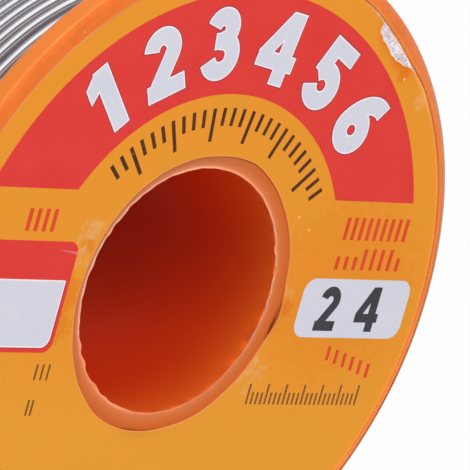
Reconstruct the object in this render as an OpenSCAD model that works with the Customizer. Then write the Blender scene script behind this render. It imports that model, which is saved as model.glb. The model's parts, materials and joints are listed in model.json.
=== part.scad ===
// Spool of flux-cored solder wire: two recessed flanges on a hollow barrel, a paper label
// on each flange, and one wire wound in nested layers with a loose outer end.
// The spool lies on its rear flange. The axis is +Z and the front label faces up.

/* [Flanges] */
// Outside diameter of both flanges
flange_d = 48; // [42:0.5:70]
// Thickness of a flange at its rim
flange_t = 2; // [1.6:0.1:3.5]
// Rounding of the rim's corners
rim_fillet = 0.55; // [0.2:0.05:0.7]
// Width of the raised lip around a label
lip_w = 0.95; // [0.9:0.05:2]
// Depth of the recess that holds a label
recess_depth = 0.35; // [0.25:0.05:0.6]

/* [Barrel] */
// Bore that a spindle goes through
bore_d = 17.4; // [14:0.2:22]
// Wall of the barrel between the flanges
barrel_wall = 1.9; // [1.7:0.1:3]
// Width of the shoulder that each flange is pushed against
shoulder_w = 0.55; // [0.4:0.05:0.6]

/* [Labels] */
// Thickness of the label paper
label_t = 0.12; // [0.08:0.01:0.2]
// Gap between a label's outer edge and the lip
label_clearance = 0.1; // [0.05:0.05:0.4]
// Width of bare plastic between the bore and a label's hole
label_margin = 1.05; // [0.8:0.05:1.1]

/* [Wire] */
// Diameter of the solder wire
wire_d = 1; // [0.6:0.1:1.2]
// Diameter of the flux core inside the wire
core_d = 0.39; // [0.2:0.01:0.5]
// Clear width between the flanges
winding_w = 19.6; // [12:0.2:30]
// Layers of wire, one on another
layers = 9; // [5:1:10]
// Outer layers that stop one turn short and leave a trench for the loose turn
short_layers = 3; // [3:1:4]

/* [Loose turn] */
// Length of the loose turn that runs round at the winding's own radius, in degrees
loose_angle = 285; // [200:5:290]
// How far the loose turn stands off the outer layer's radius
loose_lift = 0.1; // [0:0.05:0.3]
// How far the sprung end stands off the loose turn
tail_rise = 1.7; // [0.5:0.1:3]
// Radius that the sprung end has relaxed to
tail_r = 40; // [30:1:60]
// Radius of the curl that goes down into the trench
curl_r = 12; // [10:0.5:14]
// Direction in which the loose turn begins, from +X
loose_start = 250; // [0:5:355]

/* [Start of the wire] */
// Radius of the bend into the rear flange
start_bend_r = 1; // [0.8:0.1:1.5]
// Part of the first turn that is left out for the bend, in degrees
start_break = 18; // [16:1:30]
// Radial clearance of the start hole around the wire
start_clearance = 0.15; // [0.1:0.05:0.25]

/* [Fits] */
// Gap between neighbouring turns, and between layers
turn_gap = 0.01; // [0.01:0.01:0.03]
// Gap between the first layer and the barrel
barrel_gap = 0.02; // [0.01:0.01:0.1]
// Gap between the last turns and the front flange
front_gap = 0.06; // [0.02:0.02:0.2]
// Least gap between the first turns and the rear flange
rear_gap = 0.3; // [0.25:0.05:0.6]
// Gap between the flux core and the wire around it
core_gap = 0.01; // [0.01:0.01:0.03]

/* [Hidden] */
flange_r = flange_d / 2;
recess_r = flange_r - lip_w;
bore_r = bore_d / 2;
barrel_r = bore_r + barrel_wall;
spigot_r = barrel_r - shoulder_w;
spool_w = winding_w + 2 * flange_t;

wire_r = wire_d / 2;
core_r = core_d / 2;
turn_pitch = wire_d + turn_gap;
layer_pitch = turn_pitch * sqrt(3) / 2 + turn_gap;
web_w = wire_d * 0.3;
turns = floor((winding_w - front_gap - rear_gap + turn_gap) / turn_pitch);

// Turn centres: the front one is beside the front flange, and the rest follow from it.
front_turn_z = spool_w - flange_t - front_gap - wire_r;
rear_turn_z = front_turn_z - (turns - 1) * turn_pitch;

// The trench beside the rear flange, and the loose turn in the middle of it
trench_top_z = rear_turn_z + turn_pitch - wire_r;
loose_z = (flange_t + trench_top_z) / 2;
loose_r = layer_r(layers) + loose_lift;
curl_end_r = layer_r(layers - short_layers) + wire_d + loose_lift;
curl_offset = loose_r - curl_r;
curl_angle = far_angle(curl_end_r, curl_offset, curl_r);
tail_offset = loose_r - tail_r;
tail_angle = far_angle(loose_r + tail_rise, tail_offset, tail_r);

arc_steps = 8;
wire_sides = 12;
turn_step = 6;
curl_step = 9;
bend_step = 15;
cut_overrun = 1;
round_sides = 32;
covered_sides = 12;
$fn = 96;

plastic = [0.94, 0.47, 0.2];
paper = [0.92, 0.58, 0.2];
solder = [0.75, 0.76, 0.79];
rosin = [0.8, 0.55, 0.2];

function layer_r(layer) = barrel_r + barrel_gap + wire_r + (layer - 1) * layer_pitch;
function is_staggered(layer) = layer % 2 == 0;

// Angle swept about a centre that lies offset from the axis, until the path is end_r from the axis
function far_angle(end_r, offset, r) =
    acos((end_r * end_r - offset * offset - r * r) / (2 * offset * r));

// Points of a rounded corner, from one direction to another about (x, y)
function arc_points(x, y, r, from, to) =
    [for (i = [0 : arc_steps]) let (a = from + (to - from) * i / arc_steps)
        [x + r * cos(a), y + r * sin(a)]];

// Stations along a bent wire: each is a point and the two directions that span its section.
// This one runs round a centre that is offset from the axis in the direction facing.
function flat_arc(offset, facing, r, from, to, step, z) =
    let (count = ceil(abs(to - from) / step))
    [for (i = [0 : count]) let (a = facing + from + (to - from) * i / count, out = [cos(a), sin(a), 0])
        [offset * [cos(facing), sin(facing), 0] + r * out + [0, 0, z], out, [0, 0, 1]]];

// This one leaves the station given, and bends down through a right angle.
function down_bend(station, r, step) =
    let (ahead = cross(station[2], station[1]), up = station[2], count = ceil(90 / step))
    [for (i = [0 : count]) let (a = 90 * i / count)
        [station[0] + r * (sin(a) * ahead - (1 - cos(a)) * up), station[1],
            cos(a) * up + sin(a) * ahead]];

function last(list) = list[len(list) - 1];
function but_first(list) = [for (i = [1 : len(list) - 1]) list[i]];

// The loose turn curls up out of the trench, runs round, and ends in a sprung stretch.
loose_path = concat(
    flat_arc(curl_offset, loose_start, curl_r, -curl_angle, 0, curl_step, loose_z),
    but_first(flat_arc(0, loose_start, loose_r, 0, loose_angle, turn_step, loose_z)),
    but_first(flat_arc(
        tail_offset, loose_start + loose_angle, tail_r, 0, tail_angle, turn_step, loose_z)));

// The first turn ends in a bend and a leg that is cut off flush with the rear recess.
first_turn_path = flat_arc(0, 0, layer_r(1), 0, 360 - start_break, turn_step, rear_turn_z);
bend_path = down_bend(last(first_turn_path), start_bend_r, bend_step);
leg_end = let (top = last(bend_path)) [[top[0][0], top[0][1], recess_depth], top[1], top[2]];
start_path = concat(first_turn_path, but_first(bend_path), [leg_end]);

// A flange with its label face down at z = 0
module flange() {
    rotate_extrude()
        polygon(concat(
            [[recess_r, recess_depth], [spigot_r, recess_depth], [spigot_r, flange_t]],
            arc_points(flange_r - rim_fillet, flange_t - rim_fillet, rim_fillet, 90, 0),
            arc_points(flange_r - rim_fillet, rim_fillet, rim_fillet, 0, -90),
            [[recess_r, 0]]));
}

module label() {
    difference() {
        cylinder(h = label_t, r = recess_r - label_clearance);
        translate([0, 0, -cut_overrun])
            cylinder(h = label_t + 2 * cut_overrun, r = bore_r + label_margin);
    }
}

// Turns of wire side by side, joined by a thin web inside them
module turn_stack(r, low_z, count, sides) {
    rotate_extrude() {
        for (turn = [0 : count - 1])
            translate([r, low_z + turn * turn_pitch])
                circle(d = wire_d, $fn = sides);
        translate([r - web_w / 2, low_z])
            square([web_w, (count - 1) * turn_pitch]);
    }
}

// A round section swept along a path. Where hole_r is over 0, it is a tube.
module swept_wire(path, r, hole_r) {
    count = len(path);
    tube = hole_r > 0;
    rings = [for (ring_r = tube ? [r, hole_r] : [r]) for (station = path)
        for (side = [0 : wire_sides - 1]) let (a = 360 * side / wire_sides)
            station[0] + ring_r * (cos(a) * station[1] + sin(a) * station[2])];
    function corner(ring, side) = ring * wire_sides + side % wire_sides;
    sides = [0 : wire_sides - 1];
    outside = [for (i = [0 : count - 2]) for (j = sides)
        [corner(i, j), corner(i, j + 1), corner(i + 1, j + 1), corner(i + 1, j)]];
    inside = [for (i = [count : 2 * count - 2]) for (j = sides)
        [corner(i, j), corner(i + 1, j), corner(i + 1, j + 1), corner(i, j + 1)]];
    first_rim = [for (j = sides)
        [corner(0, j), corner(count, j), corner(count, j + 1), corner(0, j + 1)]];
    last_rim = [for (j = sides)
        [corner(count - 1, j), corner(count - 1, j + 1),
            corner(2 * count - 1, j + 1), corner(2 * count - 1, j)]];
    first_cap = [[for (j = sides) corner(0, wire_sides - 1 - j)]];
    last_cap = [[for (j = sides) corner(count - 1, j)]];
    polyhedron(rings, tube
        ? concat(outside, inside, first_rim, last_rim)
        : concat(outside, first_cap, last_cap));
}

module front_flange() {
    color(plastic)
        translate([0, 0, spool_w])
            mirror([0, 0, 1])
                flange();
}

module rear_flange() {
    color(plastic)
        difference() {
            flange();
            translate([leg_end[0][0], leg_end[0][1], -cut_overrun])
                cylinder(h = flange_t + 2 * cut_overrun, r = wire_r + start_clearance);
        }
}

// The barrel's turned-down ends go through the flanges, flush with their recesses.
module hub_barrel() {
    color(plastic)
        rotate_extrude()
            polygon([
                [bore_r, recess_depth], [spigot_r, recess_depth],
                [spigot_r, flange_t], [barrel_r, flange_t],
                [barrel_r, spool_w - flange_t], [spigot_r, spool_w - flange_t],
                [spigot_r, spool_w - recess_depth], [bore_r, spool_w - recess_depth]
            ]);
}

module front_label() {
    color(paper)
        translate([0, 0, spool_w - recess_depth])
            label();
}

module rear_label() {
    color(paper)
        translate([0, 0, recess_depth - label_t])
            label();
}

module start_turn() {
    color(solder)
        swept_wire(start_path, wire_r, 0);
}

// Every second layer is staggered by half a turn and holds one turn fewer. The first layer
// leaves its rear place to the start turn, and the short layers leave theirs to the trench.
// Only the outer layer's turns are fully round: the covered ones have twelve-sided sections.
module wire_layer(layer) {
    left_out = layer == 1 || layer > layers - short_layers ? 1 : 0;
    stagger = is_staggered(layer) ? turn_pitch / 2 : 0;
    color(solder)
        turn_stack(
            layer_r(layer),
            rear_turn_z + stagger + left_out * turn_pitch,
            turns - left_out - (is_staggered(layer) ? 1 : 0),
            layer == layers ? round_sides : covered_sides);
}

module loose_turn() {
    color(solder)
        swept_wire(loose_path, wire_r, core_r + core_gap);
}

module flux_core() {
    color(rosin)
        swept_wire(loose_path, core_r, 0);
}

front_flange();
rear_flange();
hub_barrel();
front_label();
rear_label();
start_turn();
for (layer = [1 : layers])
    wire_layer(layer);
loose_turn();
flux_core();
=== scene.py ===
import json
import math

import bpy
import numpy as np
from mathutils import Matrix, Vector


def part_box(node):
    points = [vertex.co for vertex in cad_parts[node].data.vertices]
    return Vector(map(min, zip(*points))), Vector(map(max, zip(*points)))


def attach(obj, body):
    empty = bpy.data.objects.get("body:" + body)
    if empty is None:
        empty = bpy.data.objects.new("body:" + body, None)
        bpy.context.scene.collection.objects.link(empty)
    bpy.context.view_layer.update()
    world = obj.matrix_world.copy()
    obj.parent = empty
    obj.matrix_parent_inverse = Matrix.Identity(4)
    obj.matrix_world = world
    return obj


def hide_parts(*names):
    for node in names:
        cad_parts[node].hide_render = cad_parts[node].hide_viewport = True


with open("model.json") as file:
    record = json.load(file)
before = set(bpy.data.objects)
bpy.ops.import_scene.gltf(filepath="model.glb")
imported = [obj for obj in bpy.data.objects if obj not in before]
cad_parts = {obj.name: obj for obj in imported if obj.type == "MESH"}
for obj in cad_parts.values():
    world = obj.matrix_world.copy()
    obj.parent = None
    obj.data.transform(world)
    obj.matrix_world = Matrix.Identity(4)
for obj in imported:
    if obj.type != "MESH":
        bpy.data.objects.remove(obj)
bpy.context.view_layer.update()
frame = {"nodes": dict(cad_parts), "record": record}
print("frame loaded:", len(frame["nodes"]), "nodes")

mm = 0.001                                   # the script's sizes are in millimetres
fullTurn = 2 * math.pi
rng = np.random.default_rng(63)


def addObject(name, data):
    made = bpy.data.objects.new(name, data)
    bpy.context.scene.collection.objects.link(made)
    return made


camera = {
    "lens": 505.5, "sensor": 36.0, "nearest": 10.0,
    "azimuth": -107.312, "elevation": 41.053, "roll": -117.426,   # degrees
    "aim": (3.609, 4.061, 23.37), "distance": 433.57,
}


# The camera's back direction comes from azimuth and elevation, and the roll turns its upright about it
def makeCamera(values):
    azimuth, elevation, roll = (math.radians(values[key]) for key in ("azimuth", "elevation", "roll"))
    back = Vector((
        math.sin(azimuth) * math.cos(elevation),
        -math.cos(azimuth) * math.cos(elevation),
        math.sin(elevation)))
    level = Vector((0, 0, 1)).cross(back).normalized()
    upright = math.cos(roll) * back.cross(level) + math.sin(roll) * level
    turn = Matrix((upright.cross(back), upright, back)).transposed().to_4x4()
    data = bpy.data.cameras.new("camera")
    data.lens = values["lens"]
    data.sensor_width = values["sensor"]
    data.clip_start = values["nearest"] * mm
    viewer = addObject("camera", data)
    spot = (Vector(values["aim"]) + values["distance"] * back) * mm
    viewer.matrix_world = Matrix.Translation(spot) @ turn
    bpy.context.scene.camera = viewer


makeCamera(camera)
bpy.context.scene.view_settings.view_transform = "Standard"


def boxOf(node):
    low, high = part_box(node)
    return np.array(low) / mm, np.array(high) / mm


flangeLow, flangeHigh = boxOf("front_flange")
rearFlangeHigh = boxOf("rear_flange")[1]
barrelLow, barrelHigh = boxOf("hub_barrel")
labelLow, labelHigh = boxOf("front_label")
rearLabelLow = boxOf("rear_label")[0]
layerLow, layerHigh = boxOf("wire_layer_9")
looseLow, looseHigh = boxOf("loose_turn")
boreRadius = frame["record"]["mounts"][0]["dims"]["r_mm"]
spigotRadius = barrelHigh[0] - 0.55           # the barrel steps in by this much where a flange is seated
wireRadius = 0.5


# Even angles round a full circle, as a column
def roundAngles(steps):
    return np.linspace(0, fullTurn, steps, endpoint=False)[:, None]


# Points at a radius and an angle about the spool's axis, at a height
def polar(radius, angle, height):
    return np.stack(np.broadcast_arrays(radius * np.cos(angle), radius * np.sin(angle), height), -1)


# An arc of points (x, y) about a middle, from one angle to another in degrees
def arc(x, y, radius, start, end, count):
    angle = np.radians(np.linspace(start, end, count))
    return np.stack([x + radius * np.cos(angle), y + radius * np.sin(angle)], -1)


# A slow wobble round a circle: a mean of cosines with whole numbers of waves and drawn phases
def waver(angle, size, waves):
    phases = rng.uniform(0, fullTurn, len(waves))
    total = sum(np.cos(wave * angle + phase) for wave, phase in zip(waves, phases))
    return size * total / math.sqrt(len(waves))


# Smooth bumps round a circle: each is a bell curve of the shortest angle to its middle
def bells(angle, bumps):
    total = np.zeros_like(angle)
    for middle, width, height in bumps:
        apart = (np.degrees(angle) - middle + 180) % 360 - 180
        total += height * np.exp(-0.5 * (apart / width) ** 2)
    return total


# A sheet's two sides on one grid, whose columns run out on the first side and back on the second
def bothSides(first, second):
    return np.concatenate([first, second[:, ::-1]], 1)


# Quads over a grid whose columns run round and join. Where it is closed, so do its rows.
def gridFaces(rows, cols, closed=True):
    a, b = np.meshgrid(np.arange(rows if closed else rows - 1), np.arange(cols), indexing="ij")
    c, d = (a + 1) % rows, (b + 1) % cols
    return np.stack([a * cols + b, a * cols + d, c * cols + d, c * cols + b], -1).reshape(-1, 4)


# Six times the volume inside the quads: the sum of every quad's triple products
def quadVolume(points, quads):
    a, b, c, d = (points[quads[:, k]] for k in range(4))
    return np.sum(a * (np.cross(b, c) + np.cross(c, d)))


# A tube's faces: quads between its rings and a flat cap on each end, all facing outwards
def cappedTube(rings):
    count, sides = rings.shape[:2]
    faces = gridFaces(count, sides, closed=False)
    caps = [list(range(sides)), list(range((count - 1) * sides, count * sides))[::-1]]
    if quadVolume(rings.reshape(-1, 3), faces) > 0:
        caps = [cap[::-1] for cap in caps]
    else:
        faces = faces[:, ::-1]
    return faces.tolist() + caps


# A piece in its place: the points are in millimetres, and its object stays at the origin
def newPiece(name, points, faces, finish, body="spool", sharp=40, values=None, replaces=()):
    points = np.asarray(points, dtype=float).reshape(-1, 3)
    if isinstance(faces, np.ndarray):
        if quadVolume(points, faces) < 0:
            faces = faces[:, ::-1]
        faces = faces.tolist()
    mesh = bpy.data.meshes.new(name)
    mesh.from_pydata((points * mm).tolist(), [], faces)
    for key, numbers in (values or {}).items():
        numbers = np.asarray(numbers, dtype=float)
        kind, part = ("FLOAT", "value") if numbers.size == len(points) else ("FLOAT_VECTOR", "vector")
        mesh.attributes.new(key, kind, "POINT").data.foreach_set(part, numbers.ravel())
    mesh.shade_smooth()
    mesh.set_sharp_from_angle(angle=math.radians(sharp))
    mesh.materials.append(finish)
    piece = addObject(name, mesh)
    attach(piece, body)
    if replaces:
        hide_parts(*replaces)
    return piece


# A colour as the eye reads it, 0 to 255, turned into the linear values that shaders take
def tint(red, green, blue):
    share = np.array([red, green, blue]) / 255
    linear = np.where(share <= 0.04045, share / 12.92, ((share + 0.055) / 1.055) ** 2.4)
    return (*linear.tolist(), 1.0)


# A shader node: each input is linked if it is given a socket, and set if it is given a value
def place(tree, kind, inputs=None, **settings):
    node = tree.nodes.new("ShaderNode" + kind)
    for key, value in settings.items():
        setattr(node, key, value)
    for key, value in (inputs or {}).items():
        if isinstance(value, bpy.types.NodeSocket):
            tree.links.new(value, node.inputs[key])
        else:
            node.inputs[key].default_value = value
    return node


def maths(tree, operation, first, second=0.5, third=None, clamp=False):
    inputs = {0: first, 1: second}
    if third is not None:
        inputs[2] = third
    return place(tree, "Math", inputs, operation=operation, use_clamp=clamp).outputs[0]


def times(tree, first, second):
    return maths(tree, "MULTIPLY", first, second)


def blend(tree, share, first, second):
    return place(tree, "Mix", {0: share, 6: first, 7: second}, data_type="RGBA").outputs[2]


# A colour laid over another where a mask is, at a strength
def over(tree, mask, strength, below, above):
    return blend(tree, times(tree, mask, strength), below, above)


# Share 0 below the low value and 1 above the high one, with a smooth rise between
def rise(tree, value, low, high, bottom=0.0, top=1.0):
    inputs = {"Value": value, "From Min": low, "From Max": high, "To Min": bottom, "To Max": top}
    return place(tree, "MapRange", inputs, interpolation_type="SMOOTHSTEP").outputs[0]


def noise(tree, where, scale, detail=3.0, rough=0.5, bend=0.0):
    inputs = {"Vector": where, "Scale": scale, "Detail": detail, "Roughness": rough, "Distortion": bend}
    return place(tree, "TexNoise", inputs).outputs["Fac"]


def attribute(tree, name, output="Fac"):
    return place(tree, "Attribute", attribute_name=name).outputs[output]


# Relief of a depth in millimetres
def bump(tree, height, depth, strength=1.0):
    inputs = {"Height": height, "Distance": depth * mm, "Strength": strength}
    return place(tree, "Bump", inputs).outputs[0]


def emptyTree(owner):
    owner.use_nodes = True
    owner.node_tree.nodes.clear()
    return owner.node_tree


# A material with one shader, whose fixed values are set on its own sockets, and the surface's coordinates
def newMaterial(name, **fixed):
    material = bpy.data.materials.new(name)
    tree = emptyTree(material)
    shader = place(tree, "BsdfPrincipled", {key.replace("_", " "): value for key, value in fixed.items()})
    place(tree, "OutputMaterial", {"Surface": shader.outputs[0]})
    return material, tree, shader, place(tree, "TexCoord").outputs["Object"]


def feed(tree, shader, **sources):
    for key, value in sources.items():
        tree.links.new(value, shader.inputs[key.replace("_", " ")])


# A shader group with a vector and named numbers as inputs. Its one output is what build makes of them.
def newGroup(name, output, build, **inputs):
    group = bpy.data.node_groups.new(name, "ShaderNodeTree")
    for key, kind in {"Vector": "Vector", **inputs}.items():
        group.interface.new_socket(name=key, in_out="INPUT", socket_type="NodeSocket" + kind)
    group.interface.new_socket(name=output, in_out="OUTPUT", socket_type="NodeSocketFloat")
    given = group.nodes.new("NodeGroupInput")
    result = group.nodes.new("NodeGroupOutput")
    group.links.new(build(group, *given.outputs[:len(inputs) + 1]), result.inputs[0])
    return group


# What a group puts out over a surface, with its own values for this material
def useGroup(tree, group, where, **values):
    return place(tree, "Group", {"Vector": where, **values}, node_tree=group).outputs[0]


# Cloudy tone: two sizes of noise added, centred on one half
def buildCloudy(tree, where, scale, contrast):
    coarse = noise(tree, where, scale, 2.0)
    fine = noise(tree, where, times(tree, scale, 5.3), 3.0)
    both = maths(tree, "MULTIPLY_ADD", coarse, 0.65, times(tree, fine, 0.35))
    spread = times(tree, maths(tree, "SUBTRACT", both, 0.5), contrast)
    return maths(tree, "ADD", spread, 0.5, clamp=True)


# Specks: small round cells, of which only a share is kept
def buildSpecks(tree, where, scale, size, share):
    cells = place(tree, "TexVoronoi", {"Vector": where, "Scale": scale})
    near = maths(tree, "LESS_THAN", cells.outputs["Distance"], size)
    drawn = place(tree, "SeparateColor", {"Color": cells.outputs["Color"]}).outputs[0]
    return times(tree, near, maths(tree, "LESS_THAN", drawn, share))


# Hairlines: where a wide noise crosses one half, broken up by a second noise
def buildHairlines(tree, where, scale, width):
    wide = noise(tree, where, scale, 1.0)
    off = maths(tree, "ABSOLUTE", maths(tree, "SUBTRACT", wide, 0.5))
    broken = noise(tree, where, times(tree, scale, 3.1), 1.0)
    return times(tree, maths(tree, "LESS_THAN", off, width), maths(tree, "GREATER_THAN", broken, 0.6))


# A soft spot: 1 at its middle and 0 past its radius, with a frayed edge
def buildSpot(tree, where, middle, radius, fray):
    away = place(tree, "VectorMath", {0: where, 1: middle}, operation="DISTANCE").outputs["Value"]
    ragged = maths(tree, "SUBTRACT", noise(tree, where, 1500.0, 4.0, 0.65), 0.5)
    edge = maths(tree, "MULTIPLY_ADD", ragged, fray, maths(tree, "DIVIDE", away, radius))
    return rise(tree, edge, 0.5, 1.0, 1.0, 0.0)


cloudyTone = newGroup("cloudyTone", "Tone", buildCloudy, Scale="Float", Contrast="Float")
dustSpecks = newGroup("dustSpecks", "Mask", buildSpecks, Scale="Float", Size="Float", Share="Float")
hairlines = newGroup("hairlines", "Mask", buildHairlines, Scale="Float", Width="Float")
frayedSpot = newGroup("frayedSpot", "Mask", buildSpot, Middle="Vector", Radius="Float", Fray="Float")


# The wall's colour is painted light for the outer wall and the far side; the pale colour is a painted
# highlight, and the grey one a painted sheen.
plastic = {
    "light": tint(248, 129, 55), "dark": tint(235, 113, 43), "speck": tint(255, 176, 124),
    "wall": tint(255, 143, 51), "paintedHighlight": tint(255, 166, 88), "sheenGrey": tint(206, 152, 130),
}


def makeFlangePlastic(values):
    material, tree, shader, where = newMaterial(
        "orangePlastic", IOR=1.46, Specular_IOR_Level=0.16, Subsurface_Weight=0.2, Subsurface_Scale=0.0012,
        Subsurface_Radius=(1.0, 0.3, 0.08))
    tone = useGroup(tree, cloudyTone, where, Scale=420.0, Contrast=2.4)
    specks = useGroup(tree, dustSpecks, where, Scale=900.0, Size=0.09, Share=0.18)
    lines = useGroup(tree, hairlines, where, Scale=160.0, Width=0.0022)
    colour = blend(tree, tone, values["dark"], values["light"])
    colour = over(tree, specks, 0.5, colour, values["speck"])
    colour = over(tree, lines, 0.35, colour, values["speck"])
    # painted light laid by attribute: the wall's colour, the pale painted highlight and the grey painted
    # sheen
    for mask, key in (("wall", "wall"), ("edge", "paintedHighlight"), ("paintedSheen", "sheenGrey")):
        colour = blend(tree, attribute(tree, mask), colour, values[key])
    grain = noise(tree, where, 2600.0, 4.0, 0.6)
    feed(
        tree, shader, Base_Color=colour,
        Roughness=rise(tree, tone, 0.2, 0.8, 0.34, 0.46),
        Normal=bump(tree, maths(tree, "MULTIPLY_ADD", lines, -0.6, grain), 0.02, 0.5))
    return material


# painted light and shade in the bore: a painted glow at each mouth, painted shade that deepens inwards and
# painted light towards +Y; on each end face's ring, painted shade away from the bore's edge, on one side
# and in the gaps by the label
bore = {
    "mouth": tint(255, 118, 38), "deep": tint(208, 53, 17), "deepestShade": tint(206, 54, 23),
    "glowDepth": 2.1, "deepFrom": 4.0, "deepTo": 12.0, "uneven": 1.2,   # depths from the nearer mouth
    "lit": tint(255, 73, 22), "litFrom": 0.5, "litTo": 7.0, "litShare": 0.4,   # heights towards +Y
    "ring": tint(210, 104, 44), "ringLight": tint(220, 118, 62),
    "sideShade": tint(176, 112, 80), "gapShadow": tint(112, 38, 12), "flash": tint(255, 208, 178),
}


# The bore's colour is painted light and shade: a painted glow at the nearer mouth, painted shade that
# deepens with the distance to it, and painted light towards +Y. Past the bore's radius the end faces take
# the ring's colour.
def makeBarrelPlastic(values):
    material, tree, shader, where = newMaterial(
        "borePlastic", IOR=1.46, Specular_IOR_Level=0.1, Subsurface_Weight=0.12, Subsurface_Scale=0.001,
        Subsurface_Radius=(1.0, 0.25, 0.06))
    x, y, z = place(tree, "SeparateXYZ", {0: where}).outputs
    fromRear = maths(tree, "SUBTRACT", z, barrelLow[2] * mm)
    fromFront = maths(tree, "SUBTRACT", barrelHigh[2] * mm, z)
    depth = maths(tree, "MINIMUM", fromRear, fromFront)
    uneven = maths(tree, "SUBTRACT", noise(tree, where, 180.0, 2.0), 0.5)
    depth = maths(tree, "MULTIPLY_ADD", uneven, values["uneven"] * mm, depth)
    # painted glow near each mouth, painted shade deeper in, and painted light towards +Y
    glow = maths(tree, "EXPONENT", maths(tree, "DIVIDE", depth, -values["glowDepth"] * mm), clamp=True)
    inner = rise(tree, depth, values["deepFrom"] * mm, values["deepTo"] * mm)
    wall = blend(tree, inner, values["deep"], values["deepestShade"])
    lit = rise(tree, y, values["litFrom"] * mm, values["litTo"] * mm, 0.0, values["litShare"])
    wall = blend(tree, lit, wall, values["lit"])
    wall = blend(tree, glow, wall, values["mouth"])
    tone = useGroup(tree, cloudyTone, where, Scale=500.0, Contrast=2.0)
    across = place(tree, "CombineXYZ", {0: x, 1: y}).outputs[0]
    radius = place(tree, "VectorMath", {0: across}, operation="LENGTH").outputs["Value"]
    # painted shade: the ring darkens away from the bore's edge, towards the label
    inward = rise(tree, radius, (boreRadius + 0.1) * mm, (boreRadius + 1.0) * mm, 0.9, 0.1)
    light = maths(tree, "MULTIPLY_ADD", tone, 0.3, maths(tree, "SUBTRACT", inward, 0.15), clamp=True)
    ring = blend(tree, light, values["ring"], values["ringLight"])
    # painted shade on one side of the ring, and painted shadow in the gaps under the label's lifted edge
    for key in ("sideShade", "gapShadow"):
        ring = blend(tree, attribute(tree, key), ring, values[key])
    outside = rise(tree, radius, (boreRadius + 0.02) * mm, (boreRadius + 0.06) * mm)
    colour = blend(tree, outside, wall, ring)
    colour = blend(tree, attribute(tree, "flash"), colour, values["flash"])
    feed(
        tree, shader, Base_Color=colour,
        Roughness=rise(tree, tone, 0.2, 0.8, 0.36, 0.5),
        Normal=bump(tree, noise(tree, where, 900.0, 4.0, 0.6), 0.03, 0.5))
    return material


paper = {
    "warm": tint(242, 149, 46), "pale": tint(232, 154, 46), "core": tint(250, 196, 140),
    "cutEdge": tint(255, 178, 106),
    "lowerTint": tint(238, 160, 52), "lowerFrom": -3.0, "lowerTo": -10.0,   # the lower part is yellower, by y
    "spotHeight": 23.4,                 # the height of all the spots' middles
    # spots of lost print: x and y of the middle, radius
    "smear": tint(236, 174, 110),
    "smears": [(-10.1, 3.5, 1.0), (-9.4, 4.0, 1.1), (-10.0, 2.2, 0.9), (10.1, 0.1, 0.7), (9.0, -5.7, 1.5),
               (17.8, 13.9, 0.8)],
    # deeper spots: x and y of the middle, radius, strength
    "shade": tint(229, 108, 16),
    "shades": [(-9.6, 3.0, 0.8, 0.4), (10.4, -1.0, 0.8, 0.5), (15.3, 15.7, 0.7, 0.6),
               (-10.4, -0.4, 1.6, 0.45), (-10.3, -2.6, 1.4, 0.45), (15.0, 0.4, 8.5, 0.2)],
    "fleck": tint(255, 196, 112), "fleckRadius": 0.14,
    "flecks": [(9.23, 5.45), (10.51, 4.57), (15.49, 15.43)],
}


def paperSpot(tree, where, x, y, radius, fray):
    middle = (x * mm, y * mm, paper["spotHeight"] * mm)
    return useGroup(tree, frayedSpot, where, Middle=middle, Radius=radius * mm, Fray=fray)


# Paper and print share one sheen and one relief, of fibres and slack
def finishPaper(tree, shader, where, tone, colour):
    fibres = noise(tree, where, 3800.0, 3.0, 0.6)
    slack = noise(tree, where, 330.0, 1.0)
    feed(
        tree, shader, Base_Color=colour,
        Roughness=rise(tree, tone, 0.1, 0.9, 0.36, 0.5),
        Normal=bump(tree, maths(tree, "MULTIPLY_ADD", slack, 2.0, fibres), 0.02, 0.35))


# Coated label paper, whose cut edge shows a pale core
def makePaper(name, values, smears=(), shades=(), flecks=()):
    material, tree, shader, where = newMaterial(name, IOR=1.45, Specular_IOR_Level=0.16)
    tone = useGroup(tree, cloudyTone, where, Scale=260.0, Contrast=2.2)
    colour = blend(tree, tone, values["warm"], values["pale"])
    height = place(tree, "SeparateXYZ", {0: where}).outputs[1]
    low = rise(tree, height, values["lowerFrom"] * mm, values["lowerTo"] * mm)
    colour = over(tree, low, 0.7, colour, values["lowerTint"])
    for x, y, radius, strength in shades:
        colour = over(tree, paperSpot(tree, where, x, y, radius, 1.6), strength, colour, values["shade"])
    # painted shade on the print beside the tear, from the label's attribute
    colour = blend(tree, attribute(tree, "shade"), colour, values["shade"])
    for x, y, radius in smears:
        wisps = rise(tree, noise(tree, where, 900.0, 4.0, 0.7, 1.0), 0.4, 0.65)
        mask = paperSpot(tree, where, x, y, radius, 2.4)
        colour = over(tree, mask, times(tree, wisps, 0.7), colour, values["smear"])
    for x, y in flecks:
        mask = paperSpot(tree, where, x, y, values["fleckRadius"], 0.5)
        colour = blend(tree, mask, colour, values["fleck"])
    specks = useGroup(tree, dustSpecks, where, Scale=420.0, Size=0.06, Share=0.12)
    colour = over(tree, specks, 0.55, colour, values["core"])
    colour = blend(tree, attribute(tree, "cut"), colour, values["cutEdge"])
    finishPaper(tree, shader, where, tone, colour)
    return material


# each ink's darker and lighter tone
inkTones = {
    "redInk": (tint(224, 58, 52), tint(230, 68, 62)),
    "smallRedInk": (tint(222, 68, 36), tint(228, 84, 52)),
    "whiteInk": (tint(213, 214, 226), tint(221, 220, 230)),
    "borderInk": (tint(250, 232, 236), tint(252, 240, 242)),
    "keylineInk": (tint(150, 58, 78), tint(170, 62, 78)),
    "scratchedInk": (tint(227, 98, 98), tint(234, 118, 116)),
    "darkInk": (tint(72, 38, 20), tint(98, 58, 36)),
    "boxInk": (tint(62, 58, 66), tint(72, 68, 74)),
    "brownInk": (tint(120, 74, 40), tint(140, 92, 52)),
}


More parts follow.
